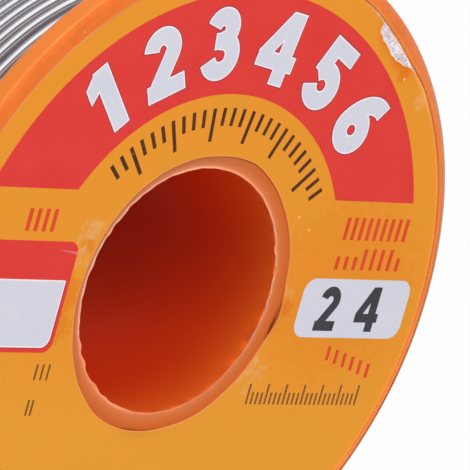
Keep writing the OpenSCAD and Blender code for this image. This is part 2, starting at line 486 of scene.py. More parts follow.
# Printed ink: an even colour, a little cloudy in tone, with specks of bare paper
def makeInk(name, dark, light):
    material, tree, shader, where = newMaterial(name, IOR=1.45, Specular_IOR_Level=0.16)
    tone = useGroup(tree, cloudyTone, where, Scale=380.0, Contrast=2.2)
    specks = useGroup(tree, dustSpecks, where, Scale=380.0, Size=0.05, Share=0.16)
    colour = over(tree, specks, 0.4, blend(tree, tone, dark, light), paper["core"])
    finishPaper(tree, shader, where, tone, colour)
    return material


torn = {
    "shaded": tint(212, 190, 196), "bare": tint(255, 248, 250), "leftInk": tint(236, 160, 140),
    "dirt": tint(128, 112, 110), "rim": tint(255, 246, 244),
}


# Bare paper where the print is torn away: matted fibres with some colour left on them
def makeTornPaper(values):
    material, tree, shader, where = newMaterial("tornPaper", IOR=1.4, Specular_IOR_Level=0.1, Roughness=0.9)
    mat = noise(tree, where, 2400.0, 5.0, 0.7, 1.5)
    colour = blend(tree, rise(tree, mat, 0.4, 0.58), values["shaded"], values["bare"])
    left = rise(tree, noise(tree, where, 1500.0, 4.0, 0.7), 0.56, 0.68)
    colour = over(tree, left, 0.4, colour, values["leftInk"])
    specks = useGroup(tree, dustSpecks, where, Scale=4200.0, Size=0.28, Share=0.14)
    colour = over(tree, specks, 0.6, colour, values["dirt"])
    colour = blend(tree, attribute(tree, "rim"), colour, values["rim"])
    feed(tree, shader, Base_Color=colour, Normal=bump(tree, mat, 0.12, 0.8))
    return material


metal = {
    "bright": (tint(236, 236, 242), tint(247, 247, 250)),
    # the inner layers' solder is darker, a painted shade
    "covered": (tint(132, 130, 138), tint(150, 149, 156)), "dent": tint(120, 122, 130),
    # the grooves, with painted shade and a lighter painted reflection band: each colour comes in from one
    # sine round the wire to another
    "above": (tint(134, 130, 138), 0.7, 0.84), "below": (tint(146, 148, 158), 0.18, -0.14),
    "lowReflection": (tint(206, 207, 216), -0.35, -0.75),
    "stretch": 0.02,                    # the marks' scale along the wire, per millimetre
}


# Drawn solder, dented here and there. Where its marks run along the wire, its grooves are dulled, with
# painted shade and a painted reflection band.
def makeSolder(name, values, tones, along):
    material, tree, shader, where = newMaterial(name, Metallic=1.0)
    tone = useGroup(tree, cloudyTone, where, Scale=330.0, Contrast=2.0)
    colour = blend(tree, tone, *tones)
    if along:
        spot = attribute(tree, "wirePlace", "Vector")
        marks = noise(tree, spot, 7.0, 2.0, 0.6)
        side = place(tree, "SeparateXYZ", {0: spot}).outputs[2]
        # painted shade and a lighter painted reflection band round the wire, by the sine round its section
        above, below, lowReflection = (rise(tree, side, *values[key][1:]) for key in ("above", "below", "lowReflection"))
        colour = blend(tree, above, colour, values["above"][0])
        colour = blend(tree, below, colour, blend(tree, lowReflection, values["below"][0], values["lowReflection"][0]))
        groove = maths(tree, "MAXIMUM", above, below)
        feed(tree, shader, Metallic=maths(tree, "MULTIPLY_ADD", groove, -0.85, 1.0))
    else:
        marks = noise(tree, where, 1500.0, 3.0, 0.6)
    dents = useGroup(tree, dustSpecks, where, Scale=500.0, Size=0.06, Share=0.05)
    feed(
        tree, shader, Base_Color=over(tree, dents, 0.35, colour, values["dent"]),
        Roughness=rise(tree, marks, 0.3, 0.7, 0.12, 0.22),
        Normal=bump(tree, maths(tree, "MULTIPLY_ADD", dents, -0.8, marks), 0.01, 0.4))
    return material


def makeRosin(dark, light):
    material, tree, shader, where = newMaterial(
        "amberRosin", IOR=1.53, Subsurface_Weight=0.3, Subsurface_Scale=0.0003)
    tone = useGroup(tree, cloudyTone, where, Scale=2500.0, Contrast=2.0)
    feed(
        tree, shader, Base_Color=blend(tree, tone, dark, light),
        Roughness=rise(tree, tone, 0.2, 0.8, 0.15, 0.3),
        Normal=bump(tree, noise(tree, where, 4000.0), 0.02))
    return material


flangePlastic = makeFlangePlastic(plastic)
borePlastic = makeBarrelPlastic(bore)
frontPaper = makePaper("frontLabelPaper", paper, paper["smears"], paper["shades"], paper["flecks"])
rearPaper = makePaper("rearLabelPaper", paper)
inks = {name: makeInk(name, *tones) for name, tones in inkTones.items()}
tornPaper = makeTornPaper(torn)
solder = makeSolder("drawnSolder", metal, metal["bright"], True)
# the inner layers take a darker copy of the solder, painted shade
coveredSolder = makeSolder("coveredSolder", metal, metal["covered"], False)
rosin = makeRosin(tint(176, 104, 22), tint(226, 158, 60))
print("finishes made")


artMiddle = np.array([0.178, -0.111])     # the label lies a little off the spool's axis
# where the label and its recess are pressed in: middle in degrees, width, depth
edgeDents = [(46.5, 3, 0.2), (54, 4.5, 0.2), (64, 12, 0.1), (105, 22, 0.16)]

flange = {
    "steps": 360,
    "fillet": 0.34, "rearFillet": 0.7, "lipWidth": 0.98, "lipEdge": 0.16, "floorEdge": 0.05,
    "offCentre": 0.42,                  # how far the label's recess lies off the axis
    "wobble": 0.012, "ripple": 0.004, "sink": 0.02,   # how uneven the moulded rim and faces are
    # where the rim is pressed in: middle in degrees, width, depth
    "flatSpot": [(52, 22, 0.11), (-12, 45, 0.07)],
    "highlightSide": 145.0,                  # the side where the lip gets a pale painted highlight; the other one is redder
    # where its outer edge takes a grey painted sheen: middle in degrees, width, strength
    "sheenSpots": [(15, 25, 0.85)],
    # how much painted highlight each rounding takes, by the share of the way over it: all round, and on the
    # highlighted side. On the lip's inner rounding it is painted light against the recess's shade.
    "rimHighlight": ([0, 0.1, 0.3, 0.4], [0.3, 0.6, 0.4, 0]), "lipHighlight": ([0.3, 0.8], [0, 0.8]),
    "lipSideHighlight": ([0, 0.2, 0.5, 0.8], [0.8, 1, 0.9, 0]),
    "edgeUneven": 0.2,                  # how much the painted highlight varies round the edges
    "rearSheen": 0.65, "farSheen": 0.1,     # painted sheen at the rear edge, and on the far side's front edge
    "wallLightShare": 0.75, "farLightShare": 0.25,    # how far the outer wall and the far side take the wall's colour, as painted light
}


# The profile's points (r, z) are carried round the axis, and r and z waver with the angle
def makeFrontFlange(values):
    outer, top, inner, floor = flangeHigh[0], flangeHigh[2], flangeLow[2], barrelHigh[2]
    lip = outer - values["lipWidth"]
    rim, rear = values["fillet"], values["rearFillet"]
    corner, bend = values["lipEdge"], values["floorEdge"]
    rimShare, lipShare = np.linspace(0, 1, 11), np.linspace(0, 1, 6)
    # each stretch of the profile, and how much painted highlight it takes all round and on the highlighted
    # side; in the recess it is painted light against the shade
    stretches = [
        (np.linspace([spigotRadius, inner], [outer - rear - 0.1, inner], 14), 0, 0),
        (arc(outer - rear, inner + rear, rear, -90, 0, 9), 0, 0),
        ([[outer, top - rim - 0.12]], 0, 0),
        (arc(outer - rim, top - rim, rim, 0, 90, 11), np.interp(rimShare, *values["rimHighlight"]), 0),
        ([[lip + corner + 0.25, top], [lip + corner + 0.1, top]], 0, 0),
        ([[lip + corner + 0.05, top]], 0, 0.25),
        (arc(lip + corner, top - corner, corner, 90, 180, 6),
         np.interp(lipShare, *values["lipHighlight"]), np.interp(lipShare, *values["lipSideHighlight"])),
        (arc(lip - bend, floor + bend, bend, 0, -90, 4), 0.8, 0),
        (np.linspace([lip - 0.3, floor], [spigotRadius, floor], 12), 0, 0)]
    profile = np.concatenate([points for points, _, _ in stretches])
    paintedHighlight, sideHighlight = (np.concatenate([np.full(len(part[0]), part[k]) for part in stretches]) for k in (1, 2))
    r, z = profile[None, :, 0], profile[None, :, 1]
    angle = roundAngles(values["steps"])
    onRim = np.clip((r - lip) / values["lipWidth"], 0, 1)
    nearRecess = np.clip(2 - np.abs(r - lip) * 4, 0, 1) * (z > floor - 0.01)
    inward = np.abs(waver(angle, values["wobble"], [2, 3, 5, 8])) + bells(angle, values["flatSpot"])
    inward = inward + np.abs(waver(angle, values["ripple"], [17, 29, 41]))
    lowered = np.abs(waver(angle, values["sink"], [1, 2, 4, 7])) * (z > floor + 0.1)
    towards = np.cos(angle - math.atan2(artMiddle[1], artMiddle[0]))
    shiftR = (values["offCentre"] * towards - bells(angle, edgeDents)) * nearRecess - inward * onRim
    highlightSide = 0.5 + 0.5 * np.cos(angle - math.radians(values["highlightSide"]))
    farSide = (1 - highlightSide) ** 2
    # painted highlight: pale lines on the rim's rounding and the lip's inner rounding, more on the
    # highlighted side, and painted light in the recess's corner
    edge = (paintedHighlight + sideHighlight * highlightSide) * (0.85 + waver(angle, values["edgeUneven"], [4, 7, 15, 26]))
    # a grey painted sheen at the rear edge, on one stretch of the front edge and faintly on the far side
    rearSheen = values["rearSheen"] * np.clip((inner + rear - z) / 0.5, 0, 1) * (r > outer - rear + 0.01)
    nearEdge = np.clip((r - outer + 0.75) / 0.45, 0, 1)
    topSheen = bells(angle, values["sheenSpots"]) * nearEdge + values["farSheen"] * farSide
    topSheen = topSheen * (z > top - rim - 0.01)
    # painted light: the outer wall and the far side take the wall's brighter, yellower colour
    wall = values["wallLightShare"] * (r > outer - 0.3) * (z < top - rim + 0.01)
    wall = wall + values["farLightShare"] * farSide * (z > floor + 0.1)
    return newPiece(
        "frontFlange", polar(r + shiftR, angle, z - lowered), gridFaces(len(angle), len(profile)),
        flangePlastic,
        values={"edge": np.clip(edge, 0, 1), "paintedSheen": rearSheen + topSheen, "wall": wall},
        replaces=["front_flange"])


makeFrontFlange(flange)


barrel = {
    "steps": 420, "rows": 40, "countersink": 0.06,
    "flashHeight": 0.08, "flashWidth": 0.15,   # the ragged moulding flash around each mouth
    "ragged": 0.22, "fineRagged": 0.2, "tornRagged": 0.7, "notched": 0.1,   # how uneven it is
    "paleLeast": 0.32, "paleMore": 0.6,        # how pale it is, and how much more at the pale places
    # where the flash is torn and where it is pale: middle in degrees, width, how much
    "torn": [(8, 16, 1.0), (-140, 20, 0.7), (150, 14, 0.4)],
    "pale": [(8, 20, 0.9), (42, 16, 0.35), (95, 20, 0.5), (142, 26, 0.4), (185, 20, 0.8),
             (-112, 10, 0.6)],
    "sideShade": [(150, 38, 0.65), (95, 14, 0.25)],   # where the end face takes a darker, greyer painted shade
    "gapShadow": [(-13, 4.5, 1.0), (-95.5, 3.5, 1.0)],   # painted shadow in the gaps under the label's lifted edge
    # how much each point of a mouth takes, from the bore's edge outwards
    "ridgeShare": [0, 1, 0.8, 0.1, 0, 0, 0, 0, 0, 0], "notchShare": [0.9, 1, 1, 0.4, 0, 0, 0, 0, 0, 0],
    "sideShadeShare": [0, 0, 0, 0.7, 0.85, 1, 1, 1, 1, 1], "gapShadowShare": [0, 0, 0, 0, 0, 0, 0, 0.1, 0.8, 1],
    "squeeze": 0.2, "squeezeTurn": 65.0,       # the front mouth is a little oval
    # from the bore's third last row on
    "squeezeShare": [0.15, 0.5, 0.95, 1, 1, 1, 0.7, 0.3],
}


# The bore's wall is a straight run of rows, and at each mouth a thin ragged ridge stands on its edge
def makeBarrel(values):
    low, high, outer = barrelLow[2], barrelHigh[2], barrelHigh[0]
    frontInner, rearInner = flangeLow[2], rearFlangeHigh[2]
    width, sink = values["flashWidth"], values["countersink"]
    wall = np.linspace([boreRadius, low + 0.12], [boreRadius, high - 0.12], values["rows"])
    fromEdge = np.array([
        [0.004, -sink - 0.03], [0.02, -sink], [0.45 * width, -sink], [width, -sink],
        [width + 0.25, -0.3 * sink], [0.72, 0], [0.86, 0], [1.0, 0], [1.15, 0]])
    frontMouth = fromEdge + [boreRadius, high]
    frontMouth = np.vstack([frontMouth, [spigotRadius - 0.04, high]])
    rearMouth = frontMouth[::-1] * [1, -1] + [0, low + high]
    outside = [
        [spigotRadius, high - 0.04], [spigotRadius, frontInner], [outer, frontInner],
        [outer, rearInner], [spigotRadius, rearInner], [spigotRadius, low + 0.04]]
    profile = np.concatenate([wall, frontMouth, outside, rearMouth])
    angle = roundAngles(values["steps"])
    shiftR, shiftZ, flash, sideShade, gapShadow = np.zeros((5, len(angle), len(profile)))
    rough, pale, sideShaded, dark = (
        np.clip(bells(angle, values[key]), 0, 1) for key in ("torn", "pale", "sideShade", "gapShadow"))
    bright = values["paleLeast"] + values["paleMore"] * pale
    first, steps = len(wall), np.arange(len(frontMouth))
    for mouth, way in ((first + steps, 1), (len(profile) - 1 - steps, -1)):
        ragged = waver(angle, values["ragged"], [2, 3, 7, 11])
        ragged = ragged + waver(angle, values["fineRagged"], [19, 31, 43])
        ragged = ragged + waver(angle, values["tornRagged"], [23, 37, 53, 61]) * rough
        notches = waver(angle, values["notched"], [17, 29, 41]) * (0.12 + rough)
        ridge = np.clip(0.8 + ragged, 0.1, 1.8) * values["flashHeight"]
        shiftZ[:, mouth] = way * ridge * values["ridgeShare"]
        shiftR[:, mouth] = -notches * values["notchShare"]
        flash[:, mouth[:1]] = 0.15 * bright
        flash[:, mouth[1:4]] = np.clip(bright * (0.95 + 0.4 * ragged) * [1, 0.9, 0], 0.1, 1)
        sideShade[:, mouth] = sideShaded * values["sideShadeShare"]
        gapShadow[:, mouth] = dark * values["gapShadowShare"]
    oval = 0.5 + 0.5 * np.cos(2 * (angle - math.radians(values["squeezeTurn"])))
    shiftR[:, first - 3:first + 5] -= oval * values["squeeze"] * values["squeezeShare"]
    return newPiece(
        "hubBarrel", polar(profile[:, 0] + shiftR, angle, profile[:, 1] + shiftZ),
        gridFaces(len(angle), len(profile)), borePlastic,
        values={"flash": flash, "sideShade": sideShade, "gapShadow": gapShadow}, replaces=["hub_barrel"])


makeBarrel(barrel)

# what shows little or nothing keeps its CAD shape and only takes a finish
dressed = {"rear_flange": flangePlastic, "start_turn": coveredSolder}
dressed.update({"wire_layer_%d" % layer: coveredSolder for layer in range(1, 9)})
for node, finish in dressed.items():
    frame["nodes"][node].data.materials.clear()
    frame["nodes"][node].data.materials.append(finish)
print("flanges and barrel made")


tear = {
    "start": 44.4, "end": 65.0, "steps": 170, "rows": 14,
    # how far in from the label's edge the tear reaches: angle in degrees, depth
    "depth": [(44.4, 0.01), (46, 0.1), (47, 0.28), (48, 0.54), (49, 0.65), (50, 0.8), (52, 0.87),
              (54, 0.86), (55, 0.78), (56, 0.8), (57, 0.7), (58.1, 0.64), (58.6, 0.1), (60, 0.03),
              (61.1, 0.06), (61.8, 0.02), (65, 0.01)],
    "ragged": 0.035, "outerWaver": 0.02,    # how uneven its inner and outer lines are
    "inset": 0.02,                      # how far in from the label's edge it starts
    "crumple": 0.05, "folds": 9, "foldSizes": (0.25, 0.7),
    "above": 0.006, "below": 0.05,      # how far it lies above and reaches below the label's face
    "shade": [(48.5, 2.6, 0.9), (56, 2.5, 0.5)], "shadeWidth": 0.5,   # painted shade on the print beside it
}


# How far in the tear reaches at an angle, from the knots above
def tearDepth(angle):
    knots = np.array(tear["depth"])
    return np.interp(np.degrees(angle), knots[:, 0], knots[:, 1], left=0, right=0)


# The label's outer edge, about the middle of its print
def labelEdge(angle):
    slip = label["slip"][0] * np.cos(angle) + label["slip"][1] * np.sin(angle)
    return labelHigh[0] + label["spread"] + slip - bells(angle, edgeDents)


label = {
    "steps": 600, "thickness": labelHigh[2] - labelLow[2],
    "hole": boreRadius + 0.87, "spread": 0.065,   # the paper reaches a little past the CAD's edge
    "slip": np.array([0.17, -0.125]),    # how far the paper is cut off the middle of its print
    "holeSlip": np.array([0.08, -0.03]),
    "slack": 0.012, "holeWaver": 0.02, "edgeWaver": 0.012,   # how unevenly it lies and is cut
    # lifted stretches of the inner edge: middle in degrees, width, height
    "lifts": [(-94, 9, 0.14), (-62, 6, 0.05), (-10, 5, 0.1), (165, 10, 0.04)],
    "rearLifts": [(20, 12, 0.08), (200, 8, 0.06)],
    "liftReach": 0.4,
    "edgeLift": [(54, 4.5, 0.08), (45, 3, 0.06), (63, 2, 0.06)], "edgeReach": 0.6,
    # where the hole is cut wide or narrow: middle in degrees, width, how much wider
    "holeBites": [(-8, 6, 0.2), (-118, 18, 0.25), (-168, 22, -0.08), (67, 12, 0.2)],
    "frayed": [(41, 3.2, 0.6)],         # where the outer edge shows more of the paper's core
    # how much of the core shows on the first and the last radii, and on the last ones where it is frayed
    "holeCut": [0.85, 0.5], "edgeCut": [0.15, 0.3, 0.5, 0.85], "frayedCut": [0.4, 1, 1, 1, 1],
}


# A paper ring on a polar grid. Its edges lift in bells round the circle, which die away from the edge.
def makeLabel(values, name, low, face, finish, node):
    hole, outer, thick = values["hole"], labelHigh[0] + values["spread"], values["thickness"]
    radii = np.concatenate([
        [hole, hole + 0.03, hole + 0.07], np.linspace(hole + 0.14, hole + 1.3, 12),
        np.linspace(hole + 2, outer - 2, 12), np.linspace(outer - 1.5, outer - 0.14, 12),
        [outer - 0.07, outer - 0.03, outer]])
    angle = roundAngles(values["steps"])
    inner = np.exp(-((radii - hole) / values["liftReach"]) ** 1.5)
    rim = np.exp(-((outer - radii) / values["edgeReach"]) ** 1.5)
    lifts, edgeLifts = (values["lifts"], values["edgeLift"]) if face > 0 else (values["rearLifts"], [])
    lift = np.clip(bells(angle, lifts) + waver(angle, values["slack"], [5, 9, 14]), 0, None) * inner
    lift = lift + bells(angle, edgeLifts) * rim
    radius = radii + waver(angle, values["holeWaver"], [3, 8, 13, 21]) * inner
    radius = radius - np.abs(waver(angle, values["edgeWaver"], [4, 9, 27, 43])) * rim
    if face > 0:
        nearEdge = np.clip((radii - outer + 4) / 4, 0, 1)
        radius = radius + bells(angle, values["holeBites"]) * inner - bells(angle, edgeDents) * nearEdge
    heights = (low + lift, low + thick + lift) if face > 0 else (low + thick - lift, low - lift)
    grid = bothSides(*(polar(radius, angle, height) for height in heights))
    if face > 0:
        share = np.clip((radii - hole) / (outer - hole), 0, 1)[None, :, None]
        slip = values["holeSlip"] + bothSides(share, share) * (values["slip"] - values["holeSlip"])
        grid[:, :, :2] += artMiddle + slip
    cut, frayed = np.zeros((2, len(radii)))
    cut[:2] = values["holeCut"]
    cut[-4:] = values["edgeCut"]
    frayed[-5:] = values["frayedCut"]
    cut = np.clip(cut + frayed * bells(angle, values["frayed"]) * (face > 0), 0, 0.9)
    x, y = grid[:, :, 0] - artMiddle[0], grid[:, :, 1] - artMiddle[1]
    turn = np.arctan2(y, x)
    # painted shade on the print beside the tear, dying away inwards from the tear's inner line
    away = (labelEdge(turn) - tearDepth(turn) - np.hypot(x, y)) / tear["shadeWidth"]
    shade = bells(turn, tear["shade"]) * np.exp(-np.clip(away, 0, None) ** 2) * (face > 0)
    return newPiece(
        name, grid, gridFaces(*grid.shape[:2]), finish,
        values={"cut": bothSides(cut, cut), "shade": shade}, replaces=[node])


makeLabel(label, "frontLabel", labelLow[2], 1, frontPaper, "front_label")
makeLabel(label, "rearLabel", rearLabelLow[2], -1, rearPaper, "rear_label")
print("labels made")


# how far each kind of print stands above the paper, and how far all of it reaches in
inkLevels = {"under": -0.004, "ground": 0.005, "keyline": 0.008, "border": 0.011, "body": 0.014}
inkStep = 0.0006                            # what overlaps in one kind of print is set apart by this much


def counterClockwise(outline):
    x, y = outline[:, 0], outline[:, 1]
    area = np.sum(x * np.roll(y, -1) - y * np.roll(x, -1))
    return outline if area > 0 else outline[::-1]


# A printed shape is a thin sheet: its outline is made a closed slab up to its level
def sheet(outline, level, step=0):
    outline = counterClockwise(np.asarray(outline, dtype=float))
    count = len(outline)
    points = np.concatenate([
        np.column_stack([outline, np.full(count, height)])
        for height in (inkLevels["under"], inkLevels[level] + inkStep * step)])
    sides = [[k, (k + 1) % count, count + (k + 1) % count, count + k] for k in range(count)]
    return points, [list(range(count))[::-1], list(range(count, 2 * count))] + sides


# A rectangle with round corners, from quarter arcs
def roundedBox(left, bottom, right, top, radius, topRadius=None, steps=7):
    upper = radius if topRadius is None else topRadius
    corners = [
        (right - upper, top - upper, upper, 0), (left + upper, top - upper, upper, 90),
        (left + radius, bottom + radius, radius, 180), (right - radius, bottom + radius, radius, 270)]
    return np.concatenate([arc(x, y, size, start, start + 90, steps) for x, y, size, start in corners])


# A bar of a length and width about its middle, turned by an angle in degrees
def bar(x, y, length, width, turn):
    angle = math.radians(turn)
    along = np.array([math.cos(angle), math.sin(angle)]) * length / 2
    across = np.array([-math.sin(angle), math.cos(angle)]) * width / 2
    return np.array([x, y]) + np.array([-along - across, along - across, along + across, -along + across])


# An upright bar, by the height of its foot
def uprightBar(x, foot, tall, width):
    return sheet(bar(x, foot + tall / 2, tall, width, 90), "ground")


# A place on a circle round the middle of the print, by an angle in degrees
def onCircle(radius, degrees):
    return arc(0, 0, radius, degrees, degrees, 1)[0]


# A half ring cut off by a level chord: each radius runs between the angles where it meets the chord
def halfRing(inner, outer, chord, steps=120):
    first, second = (math.degrees(math.asin(chord / radius)) for radius in (outer, inner))
    return np.concatenate([
        arc(0, 0, outer, first, 180 - first, steps), arc(0, 0, inner, 180 - second, second, steps)])


# A stroke of even width along a path, longer by grow at each end. At a bend, the directions a and b
# across its two sides give the mitre (a + b) / (1 + a.b).
def stroke(path, half, grow):
    path = np.array(path, dtype=float)
    ways = np.diff(path, axis=0)
    ways /= np.linalg.norm(ways, axis=1, keepdims=True)
    path[0] -= ways[0] * grow
    path[-1] += ways[-1] * grow
    across = np.stack([-ways[:, 1], ways[:, 0]], -1)
    before, after = np.vstack([across[:1], across]), np.vstack([across, across[-1:]])
    side = (before + after) / (1 + np.sum(before * after, 1, keepdims=True)) * (half + grow)
    return np.concatenate([path + side, (path - side)[::-1]])


# A flat shape grown on all sides: every corner moves out along its mitre
def grown(outline, grow):
    outline = counterClockwise(np.array(outline, dtype=float))
    ways = np.roll(outline, -1, axis=0) - outline
    ways /= np.linalg.norm(ways, axis=1, keepdims=True)
    outside = np.stack([ways[:, 1], -ways[:, 0]], -1)
    before = np.roll(outside, 1, axis=0)
    return outline + (before + outside) / (1 + np.sum(before * outside, 1, keepdims=True)) * grow


def block(left, bottom, right, top):
    return [(left, bottom), (right, bottom), (right, top), (left, top)]


# Plain upright numerals about their middle: paths for strokes of even width, and straight plates
numeralTall = 4.9
numeralPaths = {
    2: [np.vstack([arc(-0.02, 0.95, 0.94, 168, -35, 24), [(-0.95, -1.89)]])],
    3: [arc(-0.05, 1.05, 0.84, 158, -90, 26), arc(0, -0.83, 1.06, 90, -158, 28)],
    5: [arc(-0.05, -0.83, 1.06, 146, -155, 32)],
    6: [arc(0, -0.86, 1.03, 85, 280, 24), arc(0, -0.86, 1.03, -95, 95, 24),
        np.array([0.95, -0.86]) + arc(0, 0, 1.0, 183, 88, 22) * [1.98, 2.75]],
}
numeralPlates = {
    1: [block(-0.28, -2.45, 0.9, 2.45),
        [(-1.15, 1.7), (-1.15, 0.62), (0.1, 1.28), (0.1, 2.45), (-0.12, 2.45)]],
    2: [block(-1.5, -2.45, 1.5, -1.36)],
    3: [block(-0.5, -0.29, 0.1, 0.71)],
    4: [[(0.1, 2.45), (-1.75, -0.48), (-0.65, -0.48), (1.25, 2.45)],
        block(-1.75, -1.45, 1.7, -0.48), block(0.14, -2.45, 1.26, 2.45)],
    5: [block(-1.2, 1.4, 1.4, 2.45), [(-1.2, 2.45), (-1.38, -0.1), (-0.3, -0.1), (-0.12, 2.45)]],
}


# Its strokes overlap, so each lies a hair above the one before
def numeral(digit, tall, half, grow, middle, turn, level):
    scale = tall / numeralTall
    shapes = [stroke(path, half / scale, grow / scale) for path in numeralPaths.get(digit, [])]
    shapes += [grown(plate, grow / scale) for plate in numeralPlates.get(digit, [])]
    angle = math.radians(turn)
    spin = np.array([[math.cos(angle), math.sin(angle)], [-math.sin(angle), math.cos(angle)]]) * scale
    return [sheet(shape @ spin + middle, level, step) for step, shape in enumerate(shapes)]


# Several printed shapes of one ink make one piece. On the rear label they are seen from below.
def printPiece(name, shapes, ink, face=1):
    points, faces, start = [], [], 0
    for shapePoints, shapeFaces in shapes:
        placed = shapePoints.copy()
        placed[:, :2] += artMiddle
        if face < 0:
            placed[:, 0] *= -1
            placed[:, 2] = rearLabelLow[2] - placed[:, 2]
        else:
            placed[:, 2] += labelHigh[2]
        points.append(placed)
        faces += [[start + v for v in corners] for corners in shapeFaces]
        start += len(placed)
    return newPiece(name, np.concatenate(points), faces, inks[ink], sharp=30)


art = {
    "banner": (13.84, 20.9, 6.86),      # inner and outer radius of the half ring, and its chord's height
    "numeralRadius": 17.4, "numeralHalf": 0.56,
    "numeralAngles": [132.0, 115.6, 99.2, 80.9, 62.9, 45.6],
    "numeralGrow": {"keyline": 0.18, "border": 0.1, "body": 0},   # round a white numeral
    "tickAngles": (36.0, 141.0, 4.1), "tickRadius": 11.75,
    "longTick": 2.3, "shortTick": 1.25, "tickWidth": 0.3,
    "nearNumeral": 2.1,                 # a tick is long if it is this near a numeral, in degrees
    "leftBox": (-21.6, -4.31, -10.52, 3.32, 0.8),   # left, bottom, right, top, corner
    # left, bottom, right, top, lower corner, upper corner
    "leftWhite": {
        "keyline": (-21.2, -4.03, -10.77, 0.66, 0.8, 0.2),
        "border": (-21.28, -3.97, -10.87, 0.68, 0.72, 0.12),
        "body": (-21.2, -3.87, -10.97, 0.58, 0.65, 0.12)},
    # a scratch over the left box
    "scratch": [(-12.2, 2.76), (-10.54, 2.44), (-10.52, 2.66), (-11.4, 2.7)],
    "whiteBox": (11.5, -2.88, 21.95, 1.32, 1.0),
    "boxTall": 3.2, "boxHalf": 0.34, "boxDigits": [(2, 14.35), (4, 18.3)], "boxMiddle": -0.8,
    # rows of small red bars: first and last place, bottom, top, how many, how tall the low ones are
    "barRows": [
        (13.95, 19.75, 4.1, 5.7, 9, 1), (13.95, 19.85, 1.98, 3.5, 8, 0.62),
        (-15.6, -13.4, 3.95, 5.5, 4, 1)],
    "barWidth": 0.34,
    # a sloping row: first place, foot, step along and down, how many, size
    "slopeStart": (15.6, -4.5), "slopeStep": (0.86, -0.24), "slopeCount": 6, "slopeBar": (1.0, 0.3),
    "ruler": (9.0, 19.6, 25), "rulerFoot": -7.72, "rulerLong": 1.45, "rulerShort": 0.85,
    "fineMarks": [(-11.3, -6.2), (-10.75, -6.2), (-10.2, -6.2), (-11.2, -8.65), (-10.8, -8.65)],
    "fineTall": 1.1, "fineWidth": 0.17,
    "rearTickAngles": (36.0, 145.0, 4.5), "rearLong": 3.4, "rearShort": 1.9, "rearWidth": 0.4,
}


def makeFrontPrint(values):
    layers = {}
    for level, grow in values["numeralGrow"].items():
        layers[level] = []
        for count, degrees in enumerate(values["numeralAngles"]):
            layers[level] += numeral(
                count + 1, numeralTall, values["numeralHalf"], grow,
                onCircle(values["numeralRadius"], degrees), degrees - 90, level)
        layers[level].append(sheet(roundedBox(*values["leftWhite"][level]), level))
    layers["body"].append(sheet(roundedBox(*values["whiteBox"]), "ground"))
    redShapes = [halfRing(*values["banner"]), roundedBox(*values["leftBox"])]
    printPiece("bannerPrint", [sheet(shape, "ground") for shape in redShapes], "redInk")
    printPiece("boxScratch", [sheet(values["scratch"], "keyline")], "scratchedInk")
    printPiece("numeralKeylines", layers["keyline"], "keylineInk")
    printPiece("numeralBorders", layers["border"], "borderInk")
    printPiece("whitePrint", layers["body"], "whiteInk")
    digits = []
    for digit, x in values["boxDigits"]:
        middle = (x, values["boxMiddle"])
        digits += numeral(digit, values["boxTall"], values["boxHalf"], 0, middle, 0, "border")
    printPiece("boxNumber", digits, "boxInk")
    ticks = []
    for degrees in np.arange(*values["tickAngles"]):
        apart = min(abs(degrees - angle) for angle in values["numeralAngles"])
        length = values["longTick" if apart < values["nearNumeral"] else "shortTick"]
        middle = onCircle(values["tickRadius"] + (values["longTick"] - length) / 2, degrees)
        ticks.append(sheet(bar(*middle, length, values["tickWidth"], degrees), "ground"))
    printPiece("scaleTicks", ticks, "darkInk")
    small = []
    for start, end, bottom, top, count, low in values["barRows"]:
        for x in np.linspace(start, end, count):
            tall = (top - bottom) * (low if int(x * 2) % 2 else 1)
            small.append(uprightBar(x, bottom, tall, values["barWidth"]))
    for count in range(values["slopeCount"]):
        x, foot = np.array(values["slopeStart"]) + count * np.array(values["slopeStep"])
        small.append(uprightBar(x, foot, *values["slopeBar"]))
    printPiece("smallRedBars", small, "smallRedInk")
    fine, width = [], values["fineWidth"]
    for count, x in enumerate(np.linspace(*values["ruler"])):
        tall = values["rulerShort" if count % 4 else "rulerLong"]
        fine.append(uprightBar(x, values["rulerFoot"], tall, width))
    fine += [uprightBar(x, foot, values["fineTall"], width) for x, foot in values["fineMarks"]]
    printPiece("fineRuler", fine, "brownInk")


# The rear label repeats the plain half ring with a scale of ticks
def makeRearPrint(values):
    printPiece("rearBanner", [sheet(halfRing(*values["banner"]), "ground")], "redInk", -1)
    ticks = []
    for count, degrees in enumerate(np.arange(*values["rearTickAngles"])):
        length = values["rearShort" if count % 4 else "rearLong"]
        middle = onCircle(values["numeralRadius"], degrees)
        ticks.append(sheet(bar(*middle, length, values["rearWidth"], degrees), "border"))
    printPiece("rearTicks", ticks, "whiteInk", -1)


makeFrontPrint(art)
makeRearPrint(art)
print("print laid")


